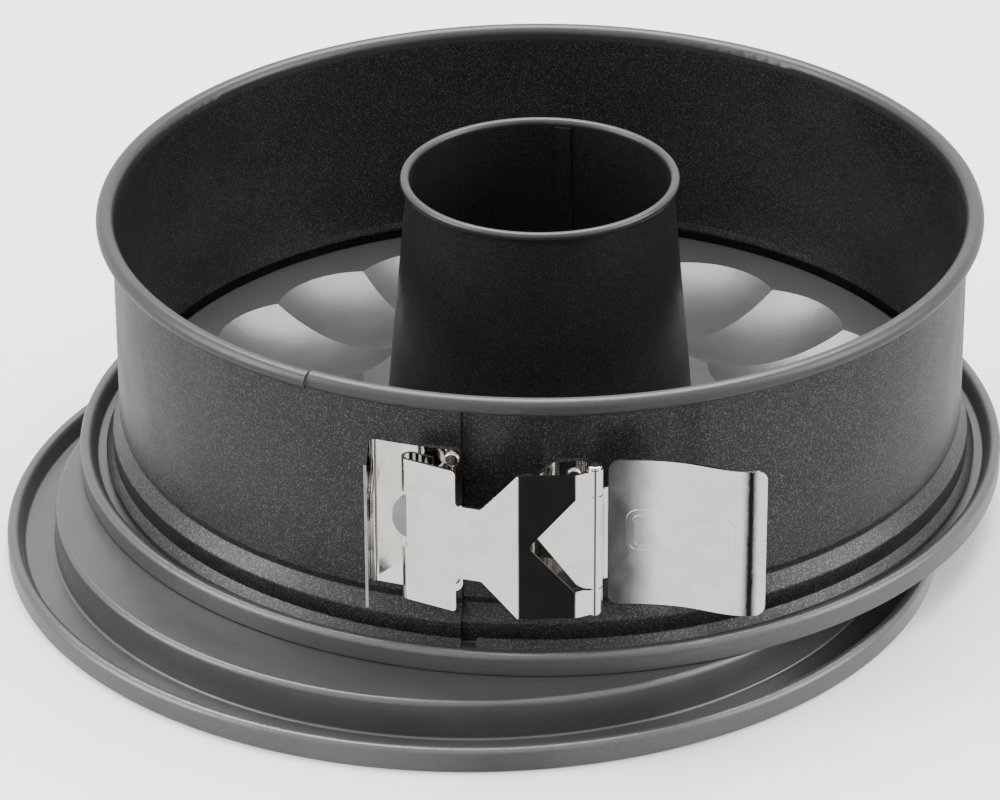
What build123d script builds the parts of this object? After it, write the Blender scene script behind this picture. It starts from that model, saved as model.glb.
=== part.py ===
from build123d import *

import os
from math import atan2, cos, degrees, radians, sin

os.makedirs("parts", exist_ok=True)

# ---- Driving dimensions (mm, degrees). Angles are measured about the pan's axis from +X. ----
SHEET = 0.6                      # thickness of the ring strip
PLATE = 0.7                      # thickness of the two bases and the tube
LATCH = 0.8                      # thickness of the latch parts
GAP = 0.3                        # space left between parts that rest on each other

BASE_R = 143.4                   # outer radius of both bases
FLOOR_R = 128.4                  # radius of the raised floor of both bases
FLOOR_Z = 13.8                   # top of the raised floor above the base's lower edge
GUTTER_Z = 1.7                   # top of the drip gutter
CREST_Z = 6.9                    # top of the outer rim

SHIFT_X, SHIFT_Y = 20.8, 29.3    # how far the pan stands off the spare flat base's centre
PAN = (SHIFT_X / 2, SHIFT_Y / 2, FLOOR_Z + GAP)
FLAT = (-SHIFT_X / 2, -SHIFT_Y / 2, 0)

FLUTES = 19                      # dished flutes round the tube
FLUTE_PHASE = 17.3               # angle of the first flute's middle
FLUTE_PITCH_R = 85.6             # radius on which the flutes' middles lie
FLUTE_R = 28.6                   # radius of one dish at floor level
FLUTE_DEPTH = 7.2

TUBE_TOP_R, TUBE_FOOT_R = 41.3, 47.4
TUBE_TOP_Z = 91.1                # height of the middle of the tube's rolled rim
TUBE_ROLL = 1.05                 # centreline radius of that roll

WALL_R = 130.3                   # middle of the ring's sheet
WALL_GROOVE_R = 129.5            # inward groove that closes over the floor's edge
BEAD_R = 132.6                   # outward bead at the foot
FOOT_R = 135.0                   # turned-out foot
FOOT_Z = 3.4
BEAD_TOP_Z = 11.2
GROOVE_Z = 15.8
WALL_FOOT_Z = 18.2               # where the plain wall starts
ROLL = 2.4                       # centreline radius of the rolled top rim
ROLL_Z = 81.9                    # height of the roll's middle
ROLL_END = -45                   # direction in which the roll's free edge points
NEST_ROLL = 1.0                  # small roll of the outer end, inside the inner end's roll

INNER_END = -120.0               # the strip's inner end, under the outer end
OUTER_END = -100.3               # the strip's outer end
FOOT_START = -98.4               # the inner end has no turned-out foot before this angle
SPLITS = (-15.0, 75.0, 165.0)    # where the springy strip is divided
SPLIT_GAP = 0.02                 # half the gap at each division, degrees
SPIRAL = 1.28                    # how far the outer end winds out over the inner end

PIN_R = 1.5                      # both hinge pins
RUNNING = 0.05                   # radial clearance of a pin in the part that turns on it
MID_Z = 45.2                     # mid height of the latch
PIVOT = (-4.6, -141.3)           # pin between the bracket and the lever
WRIST = (14.2, -143.9)           # pin between the lever and the link

KEEPER_Z = (20.7, 67.0)
KEEPER_ARC = (-100.5, -111.6)    # ends of the keeper's curved plate
FLANGE_END = (-50.8, -139.2)     # free edge of the keeper's guard flange
TONGUE_Z, TONGUE_W = 48.3, 16.0  # mid height and width of the keeper's tongue
TONGUE_TIP = -43.4
EAR_X = -30.4                    # stops beside the tongue that the hook pulls on
EARS = ((28.6, 38.6), (58.0, 60.4))

HOOK = (-39.0, -137.2)           # left end of the link's front face, where it curls back
HOOK_TURN = -28.6                # direction of that face in plan
HOOK_ROLL = 2.2
HOOK_LEG = 6.2
HOOK_SLOT = (39.3, 57.3)         # the hook is open here, round the tongue
LINK_Z = (22.1, 68.3)
HEAD_Z = (22.5, 67.9)            # the link's T head
NECK_Z = (33.6, 56.8)

LEVER_Z = (21.9, 68.5)
BRACKET_Z = (27.0, 63.6)
KNUCKLE = 8.0                    # length of each outer knuckle
END_PLAY = 0.35                  # space between neighbouring knuckles
BADGE_X, BADGE_Z = (23.3, 54.0), (38.8, 52.6)
BADGE_LIFT = 0.3

RIVET_R, RIVET_HEAD_R, RIVET_HEAD = 1.4, 2.2, 0.9
KEEPER_RIVETS = [(-101.9, 25.4), (-101.9, 64.0)]
BRACKET_RIVETS = [(-86.3, z) for z in (31.2, 40.5, 49.9, 59.2)]


def polar(radius, angle):
    return (radius * cos(radians(angle)), radius * sin(radians(angle)))


def move(part, place=PAN):
    return Pos(*place) * part


def save(part, name):
    export_step(part, f"parts/{name}.step")


def band(line, thickness):
    """A flat strip of even thickness along a smooth line."""
    return trace(line, thickness)


def spin(section, start, end, axis_shift=(0, 0)):
    """Turn a section drawn in the XZ plane about a vertical axis from one angle to another."""
    solid = revolve(Plane.XZ * section, Axis.Z, end - start)
    return Pos(axis_shift[0], axis_shift[1], 0) * Rot(0, 0, start) * solid


def upright(section, low, high):
    """Raise a section drawn in plan between two heights."""
    return Pos(0, 0, low) * extrude(section, high - low)


def window(outline, near=-160, far=-120):
    """A cutter through the latch: an (x, z) outline pushed along Y."""
    face = Plane.XZ * outline
    return Pos(0, far, 0) * extrude(face, far - near)


# ---- The two bases ----
def base_line(inner_r):
    """Centreline of a base: floor, step down, gutter, outer rim and skirt."""
    half = PLATE / 2
    floor = FilletPolyline((inner_r, FLOOR_Z - half), (FLOOR_R - half, FLOOR_Z - half),
                           (FLOOR_R, GUTTER_Z - half), (BASE_R - 5.0, GUTTER_Z - half),
                           (BASE_R - 3.6, CREST_Z - 1.8), radius=1.25)
    rim = ThreePointArc((BASE_R - 3.6, CREST_Z - 1.8), (BASE_R - 2.2, CREST_Z - half),
                        (BASE_R - half, CREST_Z - 2.4))
    skirt = Line((BASE_R - half, CREST_Z - 2.4), (BASE_R - half, 0))
    return floor + rim + skirt


def flat_base():
    return spin(band(base_line(0), PLATE), 0, 360)


def flute(radius_extra):
    """One ball that presses a round dish into the floor."""
    ball_r = (FLUTE_R ** 2 + FLUTE_DEPTH ** 2) / (2 * FLUTE_DEPTH)
    ball = Pos(FLUTE_PITCH_R, 0, FLOOR_Z - FLUTE_DEPTH + ball_r) * Sphere(ball_r + radius_extra)
    return [Rot(0, 0, FLUTE_PHASE + i * 360 / FLUTES) * ball for i in range(FLUTES)]


def tube_base():
    plate = spin(band(base_line(TUBE_FOOT_R + 0.4), PLATE), 0, 360)
    below = Pos(0, 0, FLOOR_Z - PLATE / 2 - 10) * Cylinder(FLOOR_R, 20)
    for ball in flute(PLATE):
        plate += ball & below
    for ball in flute(0):
        plate -= ball
    return plate


def centre_tube():
    """Tapered tube with a rolled rim, a hem under the floor and a lap seam inside."""
    half = PLATE / 2
    hem_z = FLOOR_Z - PLATE - half - 0.02
    wall = FilletPolyline((TUBE_FOOT_R + 2.4, hem_z), (TUBE_FOOT_R, hem_z),
                          (TUBE_TOP_R - TUBE_ROLL, TUBE_TOP_Z), radius=0.4)
    tube = spin(band(wall + roll(TUBE_TOP_R, TUBE_TOP_Z, TUBE_ROLL, -120), PLATE), 0, 360)
    seam = Line((TUBE_FOOT_R - PLATE, FLOOR_Z), (TUBE_TOP_R - TUBE_ROLL - PLATE, TUBE_TOP_Z - 1))
    return tube + spin(band(seam, PLATE), 75.6, 82.8)


def roll(middle_r, middle_z, radius, end):
    """Centreline of a rolled edge, from the wall over the top to its free edge."""
    def at(angle):
        return (middle_r + radius * cos(radians(angle)), middle_z + radius * sin(radians(angle)))
    return ThreePointArc(at(180), at((180 + end) / 2), at(end))


# ---- The ring: one springy strip, divided into four lengths ----
def ring_line(out=0, foot=True, nested=False):
    """Centreline of the strip from its foot to its rolled rim."""
    points = [(BEAD_R + out, 5.8), (BEAD_R + out, BEAD_TOP_Z), (WALL_GROOVE_R + out, GROOVE_Z),
              (WALL_R + out, WALL_FOOT_Z), (WALL_R + out, ROLL_Z)]
    if foot:
        points.insert(0, (FOOT_R + out, FOOT_Z))
    size, end = (NEST_ROLL, -30) if nested else (ROLL, ROLL_END)
    return FilletPolyline(*points, radius=1.0) + roll(WALL_R + out + size, ROLL_Z, size, end)


def ring_length(start, end, shift=(0, 0), **section):
    return spin(band(ring_line(**section), SHEET), start, end, shift)


SPIRAL_AXIS = tuple(-v for v in polar(SPIRAL, SPLITS[2]))


def about_spiral(angle):
    """The angle about the spiral's axis of a point of the wall given about the pan's axis."""
    x, y = polar(WALL_R, angle)
    return degrees(atan2(y - SPIRAL_AXIS[1], x - SPIRAL_AXIS[0])) % 360


def ring_parts():
    right, back, left = SPLITS
    gap = SPLIT_GAP
    front_right = (ring_length(INNER_END, FOOT_START, foot=False)
                   + ring_length(FOOT_START, right - gap))
    nest_start, end = about_spiral(INNER_END - 0.15), about_spiral(OUTER_END)
    front_left = (ring_length(left + gap, nest_start, SPIRAL_AXIS, out=SPIRAL)
                  + ring_length(nest_start, end, SPIRAL_AXIS, out=SPIRAL, nested=True))
    for rivet in keeper_rivets(0.02):
        front_left -= rivet
    for rivet in bracket_rivets(0.02):
        front_right -= rivet
    return {
        "ring_front_right": front_right,
        "ring_back_right": ring_length(right + gap, back - gap),
        "ring_back_left": ring_length(back + gap, left - gap),
        "ring_front_left": front_left,
    }


# ---- Rivets ----
def rivet(angle, z, inner_r, outer_r, extra, inner_head=0.0):
    """A round-headed rivet that points out from the ring."""
    shank = Cylinder(RIVET_R + extra, outer_r - inner_r, align=(Align.CENTER, Align.CENTER, Align.MIN))
    head = Cylinder(RIVET_HEAD_R, RIVET_HEAD, align=(Align.CENTER, Align.CENTER, Align.MIN))
    head = fillet(head.edges().group_by(Axis.Z)[-1], RIVET_HEAD * 0.7)
    body = shank + Pos(0, 0, outer_r - inner_r) * head
    if inner_head:
        body += Cylinder(RIVET_HEAD_R, inner_head, align=(Align.CENTER, Align.CENTER, Align.MAX))
    return Rot(0, 0, angle) * Pos(inner_r, 0, z) * Rot(0, 90, 0) * body


def keeper_rivets(extra=0.0):
    inner = WALL_R + SPIRAL - SHEET / 2
    outer = inner + SHEET + LATCH + 0.02
    return [Pos(*SPIRAL_AXIS, 0) * rivet(a, z, inner, outer, extra) for a, z in KEEPER_RIVETS]


def bracket_rivets(extra=0.0):
    inner = WALL_R - SHEET / 2
    outer = inner + SHEET + LATCH + 0.04
    return [rivet(a, z, inner, outer, extra, 0.6) for a, z in BRACKET_RIVETS]


# ---- The latch ----
def outline(*points, radius=1.2):
    """A closed (x, z) outline with rounded corners."""
    face = make_face(Polyline(*points, close=True))
    return fillet(face.vertices(), radius)


def slab(left, right, low, high, radius=0.0):
    """A rectangle in (x, z) with rounded corners."""
    size = (right - left, high - low)
    shape = RectangleRounded(*size, radius) if radius else Rectangle(*size)
    return Pos((left + right) / 2, (low + high) / 2) * shape


def knuckle(centre, low, high, bore):
    ring = Circle(PIN_R + RUNNING + LATCH) - Circle(bore)
    return Pos(centre[0], centre[1], low) * extrude(ring, high - low)


def pin(centre, low, high):
    """A hinge pin with a domed head at each end."""
    shaft = Cylinder(PIN_R, high - low)
    head = fillet(Cylinder(2.0, 0.9).edges().group_by(Axis.Z)[-1], 0.6)
    top = Pos(0, 0, (high - low) / 2 + 0.45) * head
    body = shaft + top + Rot(180, 0, 0) * top
    return Pos(centre[0], centre[1], (low + high) / 2) * body


def keeper_plate():
    """Plate on the strip's outer end, with a guard flange, a tongue and two stops."""
    radius = WALL_R + SPIRAL + (SHEET + LATCH) / 2 + 0.02
    plate = CenterArc(SPIRAL_AXIS, radius, KEEPER_ARC[0], KEEPER_ARC[1] - KEEPER_ARC[0])
    bend = JernArc(plate @ 1, plate % 1, 2.2, 112.6)
    flange = Line(bend @ 1, FLANGE_END)
    body = upright(band(plate + bend + flange, LATCH), *KEEPER_Z)
    body &= window(slab(-60, -23.4, *KEEPER_Z, radius=3))
    low, high = TONGUE_Z - TONGUE_W / 2, TONGUE_Z + TONGUE_W / 2
    tongue = FilletPolyline((-26.0, -130.0), (-27.2, -135.0), (TONGUE_TIP, -134.7), radius=1.6)
    tip = Pos(TONGUE_TIP + TONGUE_W / 2, TONGUE_Z) * Circle(TONGUE_W / 2)
    tip += slab(TONGUE_TIP + TONGUE_W / 2, -20, low, high)
    body += upright(band(tongue, LATCH), low, high) & window(tip)
    for ear_low, ear_high in EARS:
        ear = band(Line((EAR_X, -128.8), (EAR_X, -136.9)), LATCH)
        body += upright(ear, ear_low, ear_high)
    for hole in keeper_rivets(0.02):
        body -= hole
    return body


def lever_bracket():
    """Plate on the strip's inner end that carries the pivot pin in two knuckles."""
    low, high = BRACKET_Z
    line = FilletPolyline((PIVOT[0] + 1.9, PIVOT[1] + 0.3), (2.6, -131.13), (13.2, -130.49), radius=2)
    body = upright(band(line, LATCH), low, high)
    ends = ((low, low + KNUCKLE), (high - KNUCKLE, high))
    for start, stop in ends:
        body += knuckle(PIVOT, start, stop, PIN_R)
    body -= Pos(*PIVOT, MID_Z) * Cylinder(PIN_R, 60)
    body &= window(slab(-20, 13.1, low, high, radius=2.5))
    body -= window(slab(-20, 1.6, low + KNUCKLE, high - KNUCKLE), near=-150, far=-132.5)
    for hole in bracket_rivets(0.02):
        body -= hole
    return body


def handle_line():
    """The handle in plan: flat by the hinge, then bowed out to a finger lip."""
    return Spline((18.2, -139.4), (30.0, -139.7), (41.5, -142.0), (51.3, -145.7), (58.0, -146.9),
                  (62.8, -146.0), tangents=((1, 0), (0.95, 0.3)))


def lever():
    low, high = LEVER_Z
    inner_low, inner_high = BRACKET_Z[0] + KNUCKLE + END_PLAY, BRACKET_Z[1] - KNUCKLE - END_PLAY
    outer_low, outer_high = LINK_Z[0] + KNUCKLE + END_PLAY, LINK_Z[1] - KNUCKLE - END_PLAY
    handle = upright(band(handle_line(), LATCH), low, high)
    handle &= window(slab(18.2, 62.9, low, high, radius=3))
    handle += badge()
    neck = Spline((WRIST[0] + 1.9, WRIST[1]), (18.4, -139.4), tangents=((0, 1), (1, 0)))
    body = handle + upright(band(neck, LATCH), outer_low, outer_high)
    arm = band(Line((PIVOT[0], PIVOT[1] - 1.9), (WRIST[0], WRIST[1] - 1.9)), LATCH)
    shape = outline((PIVOT[0] - 3, inner_low), (2, inner_low), (7, outer_low), (18, outer_low),
                    (18, outer_high), (7, outer_high), (2, inner_high), (PIVOT[0] - 3, inner_high))
    body += upright(arm, low, high) & window(shape)
    body += knuckle(PIVOT, inner_low, inner_high, PIN_R)
    body += knuckle(WRIST, outer_low, outer_high, PIN_R)
    body -= Pos(*PIVOT, MID_Z) * Cylinder(PIN_R + RUNNING, 60)
    return body - Pos(*WRIST, MID_Z) * Cylinder(PIN_R, 60)


def badge():
    """Two plain raised frames on the handle."""
    raised = Pos(0, -BADGE_LIFT, 0) * upright(band(handle_line(), LATCH), *LEVER_Z)
    left, right = BADGE_X
    low, high = BADGE_Z
    frames = slab(left, right, low, high, 3.2) - slab(left + 0.9, right - 0.9, low + 0.9, high - 0.9, 2.4)
    frames += (slab(left + 1.8, right - 1.8, low + 1.8, high - 1.8, 1.8)
               - slab(left + 2.3, right - 2.3, low + 2.3, high - 2.3, 1.4))
    return raised & window(frames)


def latch_link():
    """T-shaped link with a curled hook on its head and two knuckles at its other end."""
    turn = (cos(radians(HOOK_TURN)), sin(radians(HOOK_TURN)))
    leg_start = (HOOK[0] - turn[1] * 2 * HOOK_ROLL, HOOK[1] + turn[0] * 2 * HOOK_ROLL)
    leg_end = (leg_start[0] + turn[0] * HOOK_LEG, leg_start[1] + turn[1] * HOOK_LEG)
    leg = Line(leg_end, leg_start)
    curl = JernArc(leg @ 1, leg % 1, HOOK_ROLL, 180)
    face_end = (WRIST[0] - 0.7, WRIST[1] - 1.82)
    face = FilletPolyline(HOOK, (-25.4, -144.6), (-18.0, -147.0), (-7.5, -148.5), (9.0, -147.9),
                          face_end, radius=3)
    low, high = LINK_Z
    body = upright(band(face, LATCH), low, high) & window(link_outline(), near=-156)
    hook = band(leg + curl, LATCH)
    for start, stop in ((HEAD_Z[0], HOOK_SLOT[0]), (HOOK_SLOT[1], HEAD_Z[1])):
        body += upright(hook, start, stop)
    for start, stop in ((low, low + KNUCKLE), (high - KNUCKLE, high)):
        body += knuckle(WRIST, start, stop, PIN_R)
    return body - Pos(*WRIST, MID_Z) * Cylinder(PIN_R + RUNNING, 60)


def link_outline():
    low, high = LINK_Z
    inner_low, inner_high = low + KNUCKLE, high - KNUCKLE
    return outline((-46, HEAD_Z[0]), (-25.3, HEAD_Z[0]), (-25.3, NECK_Z[0]), (-18, NECK_Z[0]),
                   (-7.8, low), (20, low), (20, inner_low), (8.7, inner_low), (-4.7, MID_Z),
                   (8.7, inner_high), (20, inner_high), (20, high), (-7.8, high),
                   (-18, NECK_Z[1]), (-25.3, NECK_Z[1]), (-25.3, HEAD_Z[1]), (-46, HEAD_Z[1]))


# ---- Everything, in its place ----
def main():
    save(move(flat_base(), FLAT), "flat_base")
    nodes = {"tube_base": tube_base(), "centre_tube": centre_tube(), **ring_parts()}
    nodes["keeper_plate"] = keeper_plate()
    nodes["lever_bracket"] = lever_bracket()
    nodes["pivot_pin"] = pin(PIVOT, BRACKET_Z[0] - 0.02, BRACKET_Z[1] + 0.02)
    nodes["lever"] = lever()
    nodes["link_pin"] = pin(WRIST, LINK_Z[0] - 0.15, LINK_Z[1] + 0.15)
    nodes["latch_link"] = latch_link()
    for number, solid in enumerate(keeper_rivets(), 1):
        nodes[f"keeper_rivet_{number}"] = solid
    for number, solid in enumerate(bracket_rivets(), 1):
        nodes[f"bracket_rivet_{number}"] = solid
    for name, solid in nodes.items():
        save(move(solid), name)


main()
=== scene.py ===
from math import cos, radians, sin

import bpy
from mathutils import Matrix, Vector


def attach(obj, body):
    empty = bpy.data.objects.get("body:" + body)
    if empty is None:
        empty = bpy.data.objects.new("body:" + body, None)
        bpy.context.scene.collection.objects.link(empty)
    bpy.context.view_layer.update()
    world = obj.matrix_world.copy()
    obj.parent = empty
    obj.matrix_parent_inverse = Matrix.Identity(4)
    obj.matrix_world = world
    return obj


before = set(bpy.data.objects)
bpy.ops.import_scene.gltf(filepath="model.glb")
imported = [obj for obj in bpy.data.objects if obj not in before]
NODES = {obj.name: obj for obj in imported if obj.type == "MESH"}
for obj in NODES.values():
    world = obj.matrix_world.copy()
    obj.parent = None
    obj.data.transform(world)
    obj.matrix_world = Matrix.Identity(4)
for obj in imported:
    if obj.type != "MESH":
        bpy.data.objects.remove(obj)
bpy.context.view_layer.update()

RING = ["ring_front_right", "ring_back_right", "ring_back_left", "ring_front_left"]
PLATED = ["keeper_plate", "lever_bracket", "lever", "latch_link"]
PINS = ["pivot_pin", "link_pin"]
PINS += [f"keeper_rivet_{i}" for i in (1, 2)]
PINS += [f"bracket_rivet_{i}" for i in (1, 2, 3, 4)]

# Metres. The pan's own axis and lower edge are here in the frame, and its heights are above that edge.
PAN_X, PAN_Y, PAN_Z = 0.0104, 0.01465, 0.0141
# Above these heights the coatings carry a painted highlight: plain lighter grey along the rolled rims.
RING_RIM_Z = PAN_Z + 0.0797      # the ring's coating is plain and lighter above this
TUBE_RIM_Z = PAN_Z + 0.0901      # and the tube's above this


# ---- Small helpers for shader trees ----
class Tree:
    """Adds and joins nodes of one material or world."""

    def __init__(self, owner):
        owner.use_nodes = True
        self.nodes, self.links = owner.node_tree.nodes, owner.node_tree.links
        self.nodes.clear()

    def add(self, kind, inputs=(), **settings):
        node = self.nodes.new(kind)
        for key, value in settings.items():
            setattr(node, key, value)
        for key, value in dict(inputs).items():
            socket = node.inputs[key]
            if isinstance(value, bpy.types.NodeSocket):
                self.links.new(value, socket)
            else:
                socket.default_value = value
        return node

    def math(self, operation, a, b=0.0, clamp=False):
        return self.add("ShaderNodeMath", {0: a, 1: b}, operation=operation, use_clamp=clamp).outputs[0]

    def span(self, value, low, high, to_low=0.0, to_high=1.0):
        """Maps a value from one range to another with a smooth step."""
        node = self.add("ShaderNodeMapRange", {"Value": value, "From Min": low, "From Max": high,
                                               "To Min": to_low, "To Max": to_high},
                        interpolation_type="SMOOTHSTEP")
        return node.outputs["Result"]

    def mix(self, factor, a, b):
        node = self.add("ShaderNodeMix", data_type="RGBA")
        for index, value in ((0, factor), (6, a), (7, b)):
            if isinstance(value, bpy.types.NodeSocket):
                self.links.new(value, node.inputs[index])
            else:
                node.inputs[index].default_value = value
        return node.outputs[2]

    def noise(self, place, scale, detail=3.0, rough=0.55):
        return self.add("ShaderNodeTexNoise", {"Vector": place, "Scale": scale, "Detail": detail,
                                               "Roughness": rough}).outputs["Fac"]


def grey(value, warm=0.0):
    return (value * (1 + warm), value, value * (1 - warm), 1.0)


def coating(name, dark, light, rough, metal, flake, flake_gain, tilt, highlight_z=None):
    """Non-stick coating: a dark ground, fine metallic flakes and a slightly uneven satin surface.
    Above the given height it is plain lighter grey, a painted highlight along the rolled rim."""
    mat = bpy.data.materials.new(name)
    t = Tree(mat)
    place = t.add("ShaderNodeTexCoord").outputs["Object"]
    cloud = t.noise(place, 22.0, 4.0)
    grain = t.noise(place, 900.0, 2.0)
    cells = t.add("ShaderNodeTexVoronoi", {"Vector": place, "Scale": flake}, feature="F1")
    parts = t.add("ShaderNodeSeparateColor", {0: cells.outputs["Color"]})
    ground = t.mix(t.span(cloud, 0.3, 0.7), dark, light)
    bright = t.span(parts.outputs[0], 0.70, 1.0, 0.0, flake_gain)
    colour = t.mix(bright, ground, grey(0.40))
    if highlight_z:
        height = t.add("ShaderNodeSeparateXYZ", {0: place}).outputs[2]
        # Painted highlight: plain lighter grey above the given height, standing in for the overhead
        # light along the rim.
        colour = t.mix(t.span(height, highlight_z, highlight_z + 0.0012), colour, grey(0.045))
    centred = t.add("ShaderNodeVectorMath", {0: cells.outputs["Color"], 1: (0.5, 0.5, 0.5)},
                    operation="SUBTRACT")
    lean = t.add("ShaderNodeVectorMath", {0: centred.outputs[0], "Scale": tilt}, operation="SCALE")
    bump = t.add("ShaderNodeBump", {"Height": grain, "Strength": 0.12, "Distance": 0.0001})
    added = t.add("ShaderNodeVectorMath", {0: bump.outputs[0], 1: lean.outputs[0]}, operation="ADD")
    normal = t.add("ShaderNodeVectorMath", {0: added.outputs[0]}, operation="NORMALIZE")
    wear = t.span(t.noise(place, 60.0, 5.0), 0.25, 0.75, rough - 0.04, rough + 0.05)
    lit = t.add("ShaderNodeBsdfPrincipled", {"Base Color": colour, "Metallic": metal, "Roughness": wear,
                                             "Normal": normal.outputs[0], "Coat Weight": 0.12,
                                             "Coat Roughness": 0.28})
    t.add("ShaderNodeOutputMaterial", {"Surface": lit.outputs[0]})
    return mat


def plated(name, tint, rough, wave):
    """Bright plated sheet: faint waves from pressing, hairlines and a little tarnish."""
    mat = bpy.data.materials.new(name)
    t = Tree(mat)
    place = t.add("ShaderNodeTexCoord").outputs["Object"]
    stretched = t.add("ShaderNodeMapping", {"Vector": place, "Scale": (1.0, 1.0, 0.04)}).outputs[0]
    hair = t.noise(stretched, 2600.0, 3.0, 0.7)
    soft = t.noise(place, 45.0, 2.0)
    smear = t.noise(place, 130.0, 5.0)
    colour = t.mix(t.span(smear, 0.35, 0.75), tint, grey(tint[1] * 0.86, 0.03))
    gloss = t.span(hair, 0.35, 0.75, rough, rough + 0.03)
    height = t.math("ADD", t.math("MULTIPLY", soft, wave), t.math("MULTIPLY", hair, 0.005))
    bump = t.add("ShaderNodeBump", {"Height": height, "Strength": 0.3, "Distance": 0.0006})
    lit = t.add("ShaderNodeBsdfPrincipled", {"Base Color": colour, "Metallic": 1.0, "Roughness": gloss,
                                             "Normal": bump.outputs[0]})
    t.add("ShaderNodeOutputMaterial", {"Surface": lit.outputs[0]})
    return mat


def wear_it(names, mat):
    for name in names:
        piece = NODES[name]
        piece.data.materials.clear()
        piece.data.materials.append(mat)


ring_coating = coating("ring_coating", grey(0.011), grey(0.018), rough=0.35, metal=0.50, flake=3800.0,
                       flake_gain=0.20, tilt=0.09, highlight_z=RING_RIM_Z)
base_coating = coating("base_coating", grey(0.092), grey(0.108), rough=0.33, metal=0.60, flake=4600.0,
                       flake_gain=0.10, tilt=0.04)
tube_coating = coating("tube_coating", grey(0.015), grey(0.020), rough=0.33, metal=0.45, flake=4200.0,
                       flake_gain=0.10, tilt=0.05, highlight_z=TUBE_RIM_Z)
wear_it(RING, ring_coating)
wear_it(["flat_base", "tube_base"], base_coating)
wear_it(["centre_tube"], tube_coating)
wear_it(PLATED, plated("latch_plating", (0.93, 0.915, 0.88, 1.0), 0.05, 1.0))
wear_it(PINS, plated("pin_steel", (0.72, 0.70, 0.67, 1.0), 0.13, 0.4))


# ---- The strip's surface across the three places where the CAD ring is divided ----
HALF_SHEET = 0.00027             # a hair less than half the CAD sheet
HALF_GAP = 0.019                 # degrees, just inside the CAD ring's gap
ROLL_R, ROLL_Z, WALL_R = 0.0024, 0.0819, 0.1303
STRIP = [(0.135, 0.0034), (0.1326, 0.0058), (0.1326, 0.0112), (0.1295, 0.0158), (WALL_R, 0.0182)]
STRIP += [(WALL_R, ROLL_Z)]
STRIP += [(WALL_R + ROLL_R + ROLL_R * cos(radians(a)), ROLL_Z + ROLL_R * sin(radians(a)))
          for a in range(160, -46, -20)]


def strip_outline(half):
    """The strip's section as a closed loop, half a sheet to each side of its middle line."""
    sides = ([], [])
    for i, (r, z) in enumerate(STRIP):
        before, after = Vector(STRIP[max(i - 1, 0)]), Vector(STRIP[min(i + 1, len(STRIP) - 1)])
        along = (after - before).normalized()
        for side, sign in zip(sides, (1, -1)):
            side.append((r + sign * half * along.y, z - sign * half * along.x))
    return sides[0] + sides[1][::-1]


def seam(angle, body):
    """A hair-wide piece of strip that closes one division of the ring."""
    loop = strip_outline(HALF_SHEET)
    points, faces, count = [], [], len(loop)
    for turn in (radians(angle - HALF_GAP), radians(angle + HALF_GAP)):
        points += [(PAN_X + r * cos(turn), PAN_Y + r * sin(turn), PAN_Z + z) for r, z in loop]
    for i in range(count):
        after = (i + 1) % count
        faces.append((i, after, count + after, count + i))
    mesh = bpy.data.meshes.new("seam")
    mesh.from_pydata(points, [], faces)
    piece = bpy.data.objects.new(f"seam_{body}", mesh)
    bpy.context.scene.collection.objects.link(piece)
    mesh.materials.append(ring_coating)
    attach(piece, body)


for place, holder in ((-15, "ring_inner_end"), (75, "ring_back_right"), (165, "ring_back_left")):
    seam(place, holder)


# ---- Floor, light and camera ----
def floor():
    bpy.ops.mesh.primitive_plane_add(size=12.0, location=(0, 2.0, -0.0004))
    plane = bpy.context.object
    plane.name = "floor"
    mat = bpy.data.materials.new("floor")
    t = Tree(mat)
    place = t.add("ShaderNodeTexCoord").outputs["Object"]
    colour = t.mix(t.span(t.noise(place, 3.0), 0.3, 0.7), grey(0.90), grey(0.93))
    lit = t.add("ShaderNodeBsdfPrincipled", {"Base Color": colour, "Roughness": 0.9,
                                             "Specular IOR Level": 0.1})
    t.add("ShaderNodeOutputMaterial", {"Surface": lit.outputs[0]})
    plane.data.materials.append(mat)
    plane.visible_glossy = False


def softbox(name, place, aim, size, power):
    light = bpy.data.lights.new(name, "AREA")
    light.shape, light.size, light.size_y, light.energy = "RECTANGLE", size[0], size[1], power
    lamp = bpy.data.objects.new(name, light)
    bpy.context.scene.collection.objects.link(lamp)
    lamp.location = place
    lamp.rotation_euler = (Vector(aim) - Vector(place)).to_track_quat("-Z", "Y").to_euler()


OPENING_X = 0.12                 # how far the tent's dark opening is to the right of straight ahead


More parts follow.
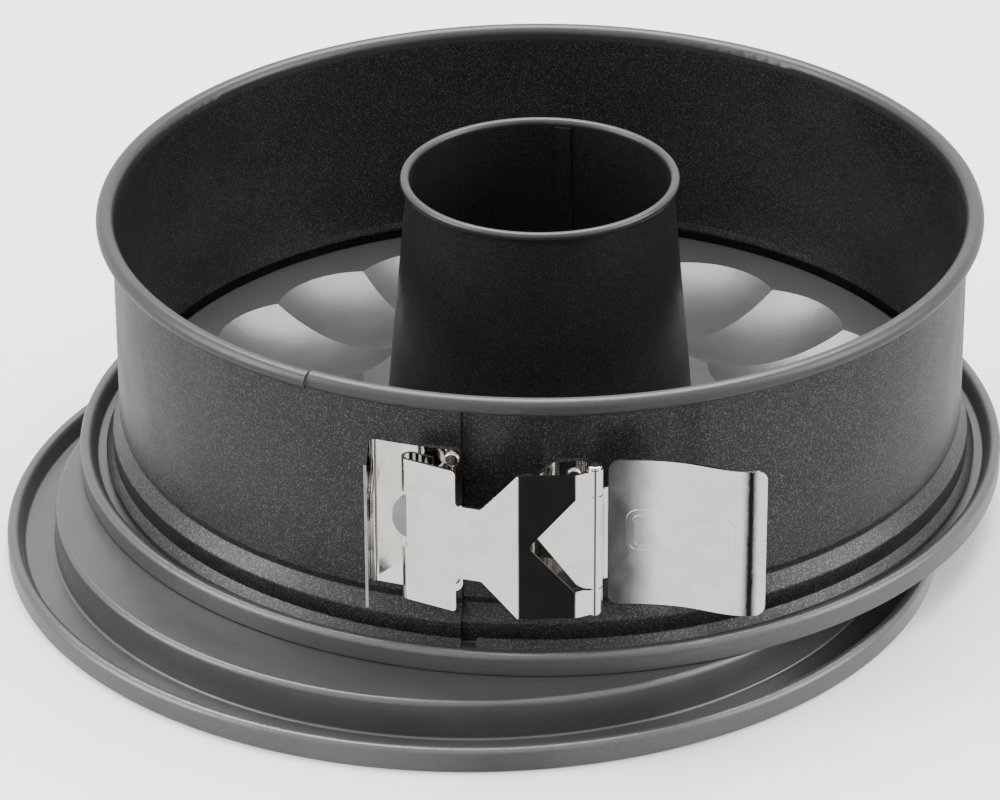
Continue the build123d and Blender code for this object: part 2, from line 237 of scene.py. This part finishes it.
def studio():
    """A white tent with a dark opening in front, where the camera looks in."""
    world = bpy.data.worlds.new("studio")
    bpy.context.scene.world = world
    t = Tree(world)
    way = t.add("ShaderNodeTexCoord").outputs["Generated"]
    x, y, z = t.add("ShaderNodeSeparateXYZ", {0: way}).outputs
    y_squared = t.math("ADD", t.math("MULTIPLY", y, y), 0.0001)
    flat = t.math("SQRT", t.math("ADD", t.math("MULTIPLY", x, x), y_squared))
    side = t.math("ABSOLUTE", t.math("SUBTRACT", t.math("DIVIDE", x, flat), OPENING_X))
    front = t.span(y, -0.15, 0.15, 1.0, 0.0)
    opening = t.math("MULTIPLY", front, t.span(side, 0.05, 0.38, 1.0, 0.0))
    top = t.span(z, 0.25, 0.75)
    opening = t.math("MULTIPLY", opening, t.math("SUBTRACT", 1.0, top))
    walls = t.span(z, -0.6, 0.9, 1.3, 1.5)
    glow = t.math("MULTIPLY", walls, t.math("SUBTRACT", 1.0, t.math("MULTIPLY", opening, 0.985)))
    back = t.add("ShaderNodeBackground", {"Color": (1.0, 0.995, 0.985, 1.0), "Strength": glow})
    t.add("ShaderNodeOutputWorld", {"Surface": back.outputs[0]})


EYE = (-0.00205, -1.39281, 0.76568)
LOOKS_DOWN = 27.632              # degrees
EYE_ROLL = -0.004384             # radians


def camera():
    lens = bpy.data.cameras.new("camera")
    lens.lens, lens.sensor_width, lens.clip_end = 183.46, 36.0, 50.0
    eye = bpy.data.objects.new("camera", lens)
    bpy.context.scene.collection.objects.link(eye)
    eye.location = EYE
    tilt, roll = Matrix.Rotation(radians(90 - LOOKS_DOWN), 3, "X"), Matrix.Rotation(EYE_ROLL, 3, "Z")
    eye.rotation_euler = (tilt @ roll).to_euler()
    bpy.context.scene.camera = eye


floor()
studio()
softbox("over", (0.0, 0.55, 1.5), (0, 0, 0), (1.6, 1.0), 60)
softbox("left", (-1.5, -0.25, 0.75), (0, 0, 0.05), (0.9, 1.2), 21)
softbox("right", (1.5, -0.25, 0.75), (0, 0, 0.05), (0.9, 1.2), 17)
camera()
